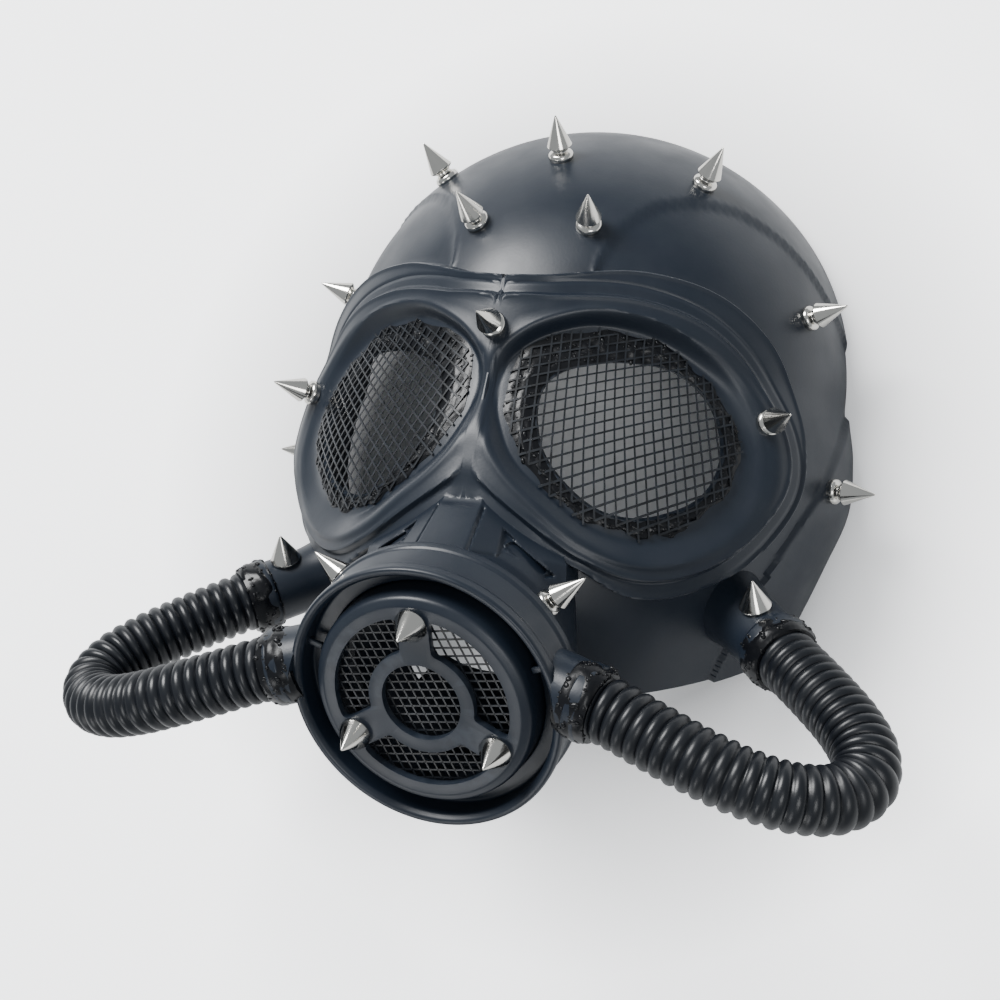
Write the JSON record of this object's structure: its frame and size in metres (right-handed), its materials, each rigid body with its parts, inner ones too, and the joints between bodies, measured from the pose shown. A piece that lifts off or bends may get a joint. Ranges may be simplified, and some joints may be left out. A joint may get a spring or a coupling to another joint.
{
  "type": "gas mask style costume mask",
  "caption": "Hard half-head costume mask with goggle surrounds and mesh eyes, a round grille filter, side hoses and cone studs.",
  "frame": {"origin": "on the resting surface, under the middle of the mask's box without its hoses", "axes": "+X to the right of the picture, across the face; +Y towards the crown; +Z out of the face, away from the resting surface"},
  "size_m": [0.3162, 0.2836, 0.1662],
  "materials": {
    "shell_plastic": "satin moulded plastic, near black with a navy tint",
    "black_mesh": "black painted expanded metal",
    "hose_plastic": "black corrugated hose, soft sheen",
    "nickel": "polished nickel"
  },
  "bodies": {
    "root": {"face_shell": "shell_plastic", "filter_housing": "shell_plastic", "filter_grille": "shell_plastic", "filter_mesh": "black_mesh", "eye_mesh_left": "black_mesh", "eye_mesh_right": "black_mesh", "cheek_port_left": "shell_plastic", "cheek_port_right": "shell_plastic", "filter_port_left": "shell_plastic", "filter_port_right": "shell_plastic", "hose_left": "hose_plastic", "hose_right": "hose_plastic", "stud_brow": "nickel", "stud_crown": "nickel", "stud_forehead_inner_left": "nickel", "stud_forehead_inner_right": "nickel", "stud_forehead_outer_left": "nickel", "stud_forehead_outer_right": "nickel", "stud_temple_left": "nickel", "stud_temple_right": "nickel", "stud_goggle_left": "nickel", "stud_goggle_right": "nickel", "stud_ear_left": "nickel", "stud_ear_right": "nickel", "stud_cheek_left": "nickel", "stud_cheek_right": "nickel", "stud_filter_top": "nickel", "stud_filter_left": "nickel", "stud_filter_right": "nickel", "stud_port_left": "nickel", "stud_port_right": "nickel"}
  },
  "joints": []
}
